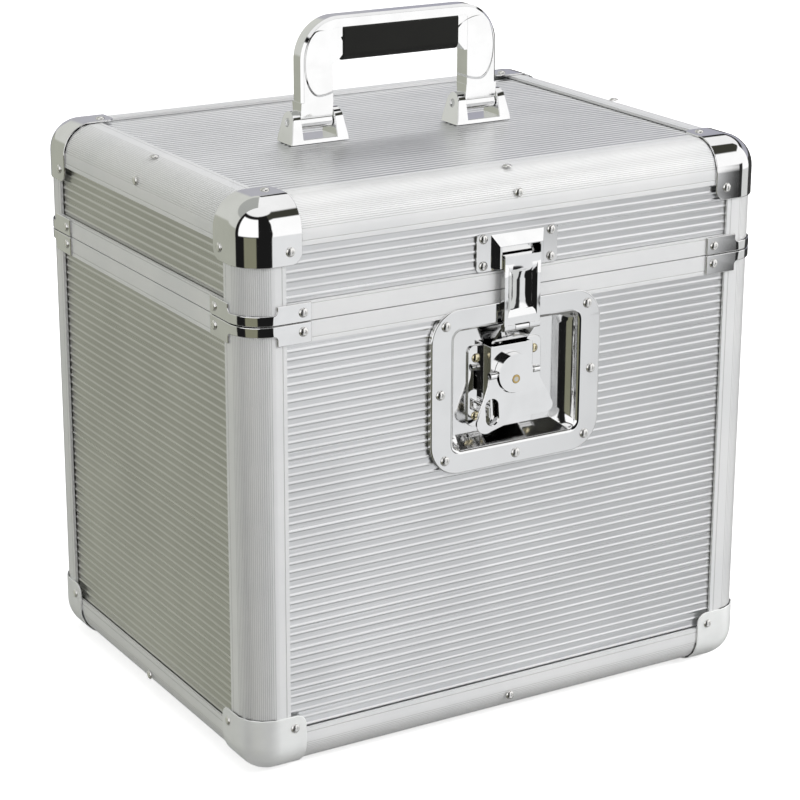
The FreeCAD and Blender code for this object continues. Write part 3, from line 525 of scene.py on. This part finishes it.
def dome_group():
    make = Maker("domed heads", [("Rise", "Float"), ("Sides", "Int"), ("Rings", "Int"),
                                 ("Material", "Material")])
    given = make.given
    barrel = make.node("GeometryNodeMeshCylinder", Vertices=given["Sides"], Side_Segments=given["Rings"],
                       Radius=1.0, Depth=2.0)
    at = make.position()
    turn = make.number("MULTIPLY", make.number("ADD", at["Z"], 1.0), math.pi / 4 * dome_share)
    inward = make.number("COSINE", turn)
    shaped = make.vector(make.number("MULTIPLY", at["X"], inward), make.number("MULTIPLY", at["Y"], inward),
                         make.number("MULTIPLY", make.number("SINE", turn), given["Rise"]))
    dome = make.node("GeometryNodeSetPosition", Geometry=barrel.outputs["Mesh"], Position=shaped)
    out = make.node("GeometryNodeInputNamedAttribute", {"data_type": "FLOAT_VECTOR"}, Name="outward")
    size = make.node("GeometryNodeInputNamedAttribute", {"data_type": "FLOAT"}, Name="head_radius")
    aim = make.node("FunctionNodeAlignRotationToVector", {"axis": "Z"}, Vector=out.outputs["Attribute"])
    spread = make.node("GeometryNodeInstanceOnPoints", Points=given["Geometry"],
                       Instance=dome.outputs["Geometry"], Rotation=aim.outputs["Rotation"],
                       Scale=size.outputs["Attribute"])
    return make.finish(spread.outputs["Instances"])


domes = dome_group()


def domed(name, material):
    made = point_cloud(name + "_domed", head_places(name))
    maker = made.modifiers.new("domes", "NODES")
    maker.node_group = domes
    set_inputs(maker, {"Rise": dome_rise, "Sides": dome_sides, "Rings": dome_rings, "Material": material})
    return stand_in(plain_mesh(made), name)


steel = plating("rivet steel", (0.92, 0.91, 0.89), 0.24)
brass = plating("pale brass plate", brass_colour, 0.12)
domed("base_rivets", steel)
domed("lid_rivets", steel)
domed("latch_bracket_rivets", brass)


# Latch dish: one deep drawn steel pressing with a drafted pan. The sheet rolls over the pan's mouth in a
# wide bend, and the outer lip is turned back against the panel.
mouth_roll = 0.0018
dish_edge = 0.0009
lip_degrees = 60
lip_across, lip_up = 0.013, 0.011
flush_within = 0.00001


def pressed_dish():
    solid = merged("latch_dish")
    low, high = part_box("latch_dish")
    middle, half = (low + high) / 2, (high - low) / 2

    def flush(edge):
        return all(abs(v.co.y - low.y) < flush_within for v in edge.verts)

    def at_mouth(edge):
        at = (edge.verts[0].co + edge.verts[1].co) / 2 - middle
        return abs(at.x) < half.x - lip_across and abs(at.z) < half.z - lip_up

    mouth = [edge for edge in solid.edges if flush(edge) and at_mouth(edge) and turns(edge, sharp_degrees)]
    bend(solid, mouth, mouth_roll, 5, clamp=False)
    lip = [edge for edge in solid.edges if flush(edge) and turns(edge, lip_degrees)]
    bend(solid, lip, dish_edge, 3, clamp=False)
    bright = plating("bright pressing", (0.86, 0.86, 0.86), 0.09)
    return set_in_place(solid, "latch_dish", "_pressed", bright)


pressed_dish()


# Latch: chrome plated steel pressings on a turned hub, with a pale brass crank pin. Pressed edges are
# rounded by tumbling before plating.
tumbled = {"latch_bracket": 0.0003, "latch_staple": 0.0006, "latch_hub": 0.0011, "latch_wing": 0.0009,
           "latch_slider": 0.0005}
for name, width in tumbled.items():
    rounded(name, width, chrome)


def distance(tree, aside, above):
    squares = (math_node(tree, "MULTIPLY", side, side) for side in (aside, above))
    return math_node(tree, "SQRT", math_node(tree, "ADD", *squares))


def ringed_pin():
    made = plating("ringed pin", brass_colour, 0.12)
    tree = made.node_tree
    low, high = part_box("latch_crank_pin")
    centre = (low + high) / 2
    at = object_place(tree)
    radius = distance(tree, math_node(tree, "SUBTRACT", at["X"], float(centre.x)),
                      math_node(tree, "SUBTRACT", at["Z"], float(centre.z)))
    share = math_node(tree, "DIVIDE", radius, float(high.x - low.x) / 2)
    ring = tint(tree, between(tree, share, 0.0, 1.0, 0.45, 0.6), (0.66, 0.66, 0.63), (0.62, 0.46, 0.20))
    coat(tree, tree.nodes["Principled BSDF"], Base_Color=ring)
    return made


rounded("latch_crank_pin", 0.0004, ringed_pin())
dress(["latch_wing_pins", "latch_hook_pin"], chrome)


# Hook arm: the steel strap that catches behind the keeper. It is pressed with a deep dish whose floor runs
# smoothly into its slopes, then plated like the rest.
dish_floor_depth = 0.0028
dish_floor_half = 0.0068
dish_bend = 0.0036
near_floor = 0.0001
floor_degrees = 10
bowl_half = 0.007
bowl_slope = 26.0
bowl_foot = (0.011, 0.022)
bowl_head = (0.033, 0.042)


def soften_dish(solid):
    floor = min(v.co.y for v in solid.verts) + dish_floor_depth

    def on_floor(vert):
        return abs(vert.co.y - floor) < near_floor and abs(vert.co.x) < dish_floor_half

    rim = [edge for edge in solid.edges if all(map(on_floor, edge.verts)) and turns(edge, floor_degrees)]
    bend(solid, rim, dish_bend, 8)


def bowl(tree):
    at = object_place(tree)
    aside = math_node(tree, "MINIMUM", math_node(tree, "ABSOLUTE", at["X"]), bowl_half)
    hollow = math_node(tree, "MULTIPLY", math_node(tree, "MULTIPLY", aside, aside), bowl_slope)
    height = math_node(tree, "SUBTRACT", at["Z"], float(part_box("latch_hook_arm")[0].z))
    upper = between(tree, height, 1.0, 0.0, *bowl_head)
    lower = between(tree, height, 0.0, 1.0, *bowl_foot)
    return math_node(tree, "MULTIPLY", math_node(tree, "MULTIPLY", hollow, upper), lower)


strap = plating("hollowed strap", chrome_colour, 0.05, shape=bowl)
rounded("latch_hook_arm", 0.0006, strap, reshape=soften_dish)


# Keeper: a plate with a raised hood that the hook enters, pressed from one sheet. The press draws the
# hood's brow out in a long slope, and the hood's faces lean a little from polishing.
slope_top = 0.0202
slope_foot = 0.0159
cheek_foot = 0.0012
cheek_in, cheek_out = 0.0185, 0.0202
front_skin = 0.001
near_row = 0.00015
near_face = 0.0002
drawn_up = 0.0015
drawn_down = 0.0007
drawn_in = 0.0015
lean_down = 0.2


def draw_brow(solid):
    low = min(v.co.z for v in solid.verts)
    front = min(v.co.y for v in solid.verts)
    for vert in solid.verts:
        up = vert.co.z - low
        behind = vert.co.y > front + front_skin
        if behind and cheek_in < abs(vert.co.x) < cheek_out and cheek_foot < up < slope_top + near_face:
            vert.co.x -= math.copysign(drawn_in, vert.co.x)
        if behind and abs(up - slope_top) < near_row:
            vert.co.z += drawn_up
        elif abs(up - slope_foot) < near_row and vert.co.y < front + near_face:
            vert.co.z -= drawn_down


def leaning(slope):
    return lambda tree: math_node(tree, "MULTIPLY", object_place(tree)["Z"], slope)


hood = plating("keeper chrome", chrome_colour, 0.03, shape=leaning(lean_down))
rounded("latch_keeper", 0.0006, hood, reshape=draw_brow)


# Rear hinges: zinc plated steel leaves rolled round a steel pin and fixed across the split at the rear. Stop
# tabs bent out of the same sheet hold the open lid.
for name in ("hinge_base_leaves", "hinge_lid_leaves"):
    rounded(name, 0.0003, satin)
dress(["hinge_pins"], satin)


# Handle shoes: two castings screwed to the lid, polished and chrome plated, so every edge is soft. The
# polishing wheel leaves their upright faces leaning back a little.
lean_back = -0.2
casting = plating("polished casting", chrome_colour, 0.03, shape=leaning(lean_back))
rounded("handle_shoes", 0.0010, casting, steps=3)
dress(["handle_pins"], chrome)


# Handle frame: the cast arch, polished and chrome plated. Its inner corners are cast out into two ears that
# take the ends of the grip, each with a slanted foot. The finish shows a low oval boss on each leg.
ear_length = 0.0050
ear_slant = 0.0055
ear_below = 0.0012
ear_inset = 0.0001
ear_root = 0.0030


def ears(solid):
    low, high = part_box("handle_grip")
    near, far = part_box("handle_frame")[0].y + ear_inset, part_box("handle_frame")[1].y - ear_inset
    foot = low.z - ear_below
    for side, end in ((1, low.x), (-1, high.x)):
        outline = [(-ear_root, foot), (0.0, foot), (ear_length, foot + ear_slant),
                   (ear_length, high.z + ear_root), (-ear_root, high.z + ear_root)]
        rings = [[solid.verts.new((end + side * x, y, z)) for x, z in outline] for y in (near, far)]
        made = [solid.faces.new(ring) for ring in rings]
        for i in range(len(outline)):
            k = (i + 1) % len(outline)
            made.append(solid.faces.new((rings[0][i], rings[0][k], rings[1][k], rings[1][i])))
        bmesh.ops.recalc_face_normals(solid, faces=made)


boss_inset = 0.0128
boss_half = 0.0102
boss_tall = 0.0200
boss_stretch = 2.2
boss_rise = 0.0005


def bossed(tree):
    at = object_place(tree)
    centre = float(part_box("handle_frame")[1].x) - boss_inset
    aside = math_node(tree, "SUBTRACT", math_node(tree, "ABSOLUTE", at["X"]), centre)
    aside = math_node(tree, "MAXIMUM", math_node(tree, "DIVIDE", aside, boss_half),
                      math_node(tree, "DIVIDE", aside, -boss_stretch * boss_half))
    above = math_node(tree, "SUBTRACT", at["Z"], float(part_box("handle_grip")[0].z))
    above = math_node(tree, "DIVIDE", above, boss_tall)
    boss = between(tree, distance(tree, aside, above), boss_rise, 0.0, 0.95, 1.05)
    return math_node(tree, "ADD", leaning(lean_back)(tree), boss)


arch = plating("bossed casting", chrome_colour, 0.03, shape=bossed)
rounded("handle_frame", 0.0028, arch, steps=6, reshape=ears)


# Handle grip: a black moulded plastic sleeve with a fine satin grain. It sits round the frame's bar and is
# held between the ears.
def moulded(name, colour, rough):
    made, tree, skin = shader(name)
    fine = grain(tree, (2500.0, 2500.0, 2500.0), 2.0)
    wear = grain(tree, (40.0, 40.0, 40.0), 4.0)
    light = tuple(1.3 * c for c in colour)
    coat(tree, skin, Base_Color=tint(tree, between(tree, wear, 0.0, 1.0), colour, light),
         Specular_IOR_Level=0.25, Roughness=between(tree, wear, rough, rough + 0.1))
    relief(tree, skin, fine, 0.00005, 0.5)
    return made


def shortened(solid):
    for vert in solid.verts:
        vert.co.x -= math.copysign(ear_length, vert.co.x)


sleeve = moulded("black grip plastic", (0.009, 0.009, 0.008), 0.45)
rounded("handle_grip", 0.0008, sleeve, steps=3, reshape=shortened)


# Inside and underneath: foam linings glued to the walls, a mill finish aluminium floor sheet, and moulded
# rubber feet pressed in from below.
dress(["base_lining", "lid_lining"], moulded("foam lining", (0.02, 0.02, 0.022), 0.85))
rounded("base_feet", 0.0006, moulded("foot rubber", (0.02, 0.02, 0.02), 0.7))
mill_finish = rolled_sheet("mill finish floor sheet", grain_x, (0.6, 0.6, 0.6), (0.66, 0.66, 0.66))
dress(["base_floor"], mill_finish)


# Floor and backdrop: one white sheet that curves up behind. It shows as plain white to the camera and
# takes the case's shadow. Mirror rays pass through it to the room's own light, set further down.
def backdrop():
    size, back, rise, radius, steps = 6.0, 2.2, 3.2, 0.9, 16
    points = [(-size, 0.0)]
    for i in range(steps + 1):
        turn = math.pi / 2 * i / steps
        points.append((back + radius * math.sin(turn), radius * (1 - math.cos(turn))))
    points.append((back + radius, rise))
    mesh = bpy.data.meshes.new("floor")
    corners = [(x, y, z) for x in (-size, size) for y, z in points]
    count = len(points)
    faces = [(i, i + count, i + count + 1, i + 1) for i in range(count - 1)]
    mesh.from_pydata(corners, [], faces)
    for face in mesh.polygons:
        face.use_smooth = True
    made = bpy.data.objects.new("floor", mesh)
    bpy.context.collection.objects.link(made)
    mesh.materials.append(paper())


def paper():
    made, tree, skin = shader("white paper")
    wear = grain(tree, (3.0, 3.0, 3.0), 2.0)
    path = tree.nodes.new("ShaderNodeLightPath").outputs
    looked_at = path["Is Camera Ray"]
    paper_white = tint(tree, wear, (0.90, 0.90, 0.90), (0.94, 0.94, 0.94))
    coat(tree, skin, Base_Color=tint(tree, looked_at, (0.5, 0.5, 0.5), paper_white), Roughness=0.9,
         Emission_Color=(1.0, 1.0, 1.0), Emission_Strength=math_node(tree, "MULTIPLY", looked_at, 0.62))
    clear = tree.nodes.new("ShaderNodeBsdfTransparent")
    mirrored = math_node(tree, "MAXIMUM", path["Is Glossy Ray"], path["Is Transmission Ray"])
    mix_shaders(tree, mirrored, skin.outputs["BSDF"], clear.outputs["BSDF"], tree.nodes["Material Output"])
    return made


def mix_shaders(tree, share, first, second, out):
    both = tree.nodes.new("ShaderNodeMixShader")
    for socket, value in zip(both.inputs, (share, first, second)):
        tree.links.new(value, socket)
    tree.links.new(both.outputs["Shader"], out.inputs["Surface"])


backdrop()


# Lamps: a large soft box high on the right of the camera and one overhead. Mirrors leave them out, because
# the room below already holds the bright areas that the chrome shows.
def lamp(name, place, aim, size, power):
    light = bpy.data.lights.new(name, "AREA")
    light.shape = "RECTANGLE"
    light.size, light.size_y = size
    light.energy = power
    made = bpy.data.objects.new(name, light)
    made.location = place
    made.rotation_mode = "QUATERNION"
    made.rotation_quaternion = (Vector(place) - Vector(aim)).to_track_quat("Z", "Y")
    made.visible_glossy = False
    bpy.context.collection.objects.link(made)


middle = (0.0, 0.0, 0.2)
lamp("key", (1.5, -1.9, 1.9), middle, (1.2, 1.2), 66.0)
lamp("overhead", (-0.2, 0.3, 2.3), middle, (1.6, 1.4), 8.0)


# Room round the floor: white where the camera looks straight at it. The metal sees soft boxes and the
# dark gaps between them. Each patch is a range of bearings from the camera's side, positive to the right,
# and a range of heights above the horizon, all in degrees.
bearing = -30.3
patch_blur = 2.0
dim_room = (0.30, 0.30, 0.28)
patches = (
    ((118, 400), (4, 24), (0.43, 0.43, 0.49)),
    ((118, 400), (24, 34), (0.02, 0.02, 0.02)),
    ((112, 400), (-90, 4), (0.05, 0.05, 0.05)),
    ((-76, 400), (34, 100), (1.0, 1.0, 1.0)),
    ((-400, -76), (-90, 5), (0.16, 0.17, 0.13)),
    ((-400, -76), (38, 100), (0.42, 0.43, 0.41)),
    ((-400, -76), (5, 38), (0.66, 0.67, 0.63)),
    ((-145, -76), (-38, 8), (0.43, 0.44, 0.38)),
    ((-400, -150), (-90, 24), (0.48, 0.48, 0.52)),
    ((46, 118), (-90, 40), (1.15, 1.15, 1.15)),
    ((46, 118), (-90, -10), (0.85, 0.86, 0.87)),
    ((86, 118), (-90, -10), (0.70, 0.71, 0.70)),
    ((68.5, 84), (-32, 6), (0.03, 0.03, 0.03)),
    ((6, 118), (40, 57), (0.05, 0.05, 0.04)),
    ((-76, 46), (-90, 57), (0.012, 0.012, 0.012)),
    ((-45, -5), (-90, -10), (0.24, 0.24, 0.17)),
    ((-64, 2), (-8, 47), (1.2, 1.2, 1.2)),
    ((-400, 400), (-100, -50), (0.26, 0.26, 0.25)),
)


def patch_mask(tree, value, low, high):
    start = between(tree, value, 0.0, 1.0, low - patch_blur, low + patch_blur)
    end = between(tree, value, 1.0, 0.0, high - patch_blur, high + patch_blur)
    return math_node(tree, "MULTIPLY", start, end)


def room():
    world = bpy.data.worlds.new("studio")
    bpy.context.scene.world = world
    world.use_nodes = True
    tree = world.node_tree
    tree.nodes.clear()
    out = tree.nodes.new("ShaderNodeOutputWorld")
    path = tree.nodes.new("ShaderNodeLightPath")
    mirrored = tree.nodes.new("ShaderNodeBackground")
    white = tree.nodes.new("ShaderNodeBackground")
    place = tree.nodes.new("ShaderNodeTexCoord")
    turned = tree.nodes.new("ShaderNodeVectorRotate")
    turned.rotation_type = "Z_AXIS"
    turned.inputs["Angle"].default_value = -math.radians(bearing)
    split = tree.nodes.new("ShaderNodeSeparateXYZ")
    tree.links.new(place.outputs["Generated"], turned.inputs["Vector"])
    tree.links.new(turned.outputs["Vector"], split.inputs["Vector"])
    ahead = math_node(tree, "MULTIPLY", split.outputs["Y"], -1.0)
    around = math_node(tree, "DEGREES", math_node(tree, "ARCTAN2", split.outputs["X"], ahead))
    height = math_node(tree, "DEGREES", math_node(tree, "ARCSINE", split.outputs["Z"]))
    colour = dim_room
    for (left, right), (low, high), shade in patches:
        mask = math_node(tree, "MULTIPLY", patch_mask(tree, around, left, right),
                         patch_mask(tree, height, low, high))
        colour = tint(tree, mask, colour, shade)
    feed(tree, mirrored.inputs["Color"], colour)
    feed(tree, white.inputs["Color"], (1.0, 1.0, 1.0))
    mix_shaders(tree, path.outputs["Is Camera Ray"], mirrored.outputs["Background"],
                white.outputs["Background"], out)


room()


# Camera at the photograph's side and height, pitched down. Its place and lens were found from the case's
# measured edges.
camera = bpy.data.cameras.new("camera")
camera.lens = 110.3
camera.shift_x = 0.034
camera.shift_y = -0.050
viewer = bpy.data.objects.new("camera", camera)
bpy.context.collection.objects.link(viewer)
turn, pitch, away = math.radians(bearing), math.radians(17.52), 1.577
towards = Vector((math.sin(turn) * math.cos(pitch), -math.cos(turn) * math.cos(pitch), math.sin(pitch)))
viewer.location = Vector((-0.0169, 0.0, 0.1991)) + towards * away
viewer.rotation_mode = "QUATERNION"
viewer.rotation_quaternion = towards.to_track_quat("Z", "Y")
bpy.context.scene.camera = viewer
bpy.context.scene.view_settings.view_transform = "Standard"
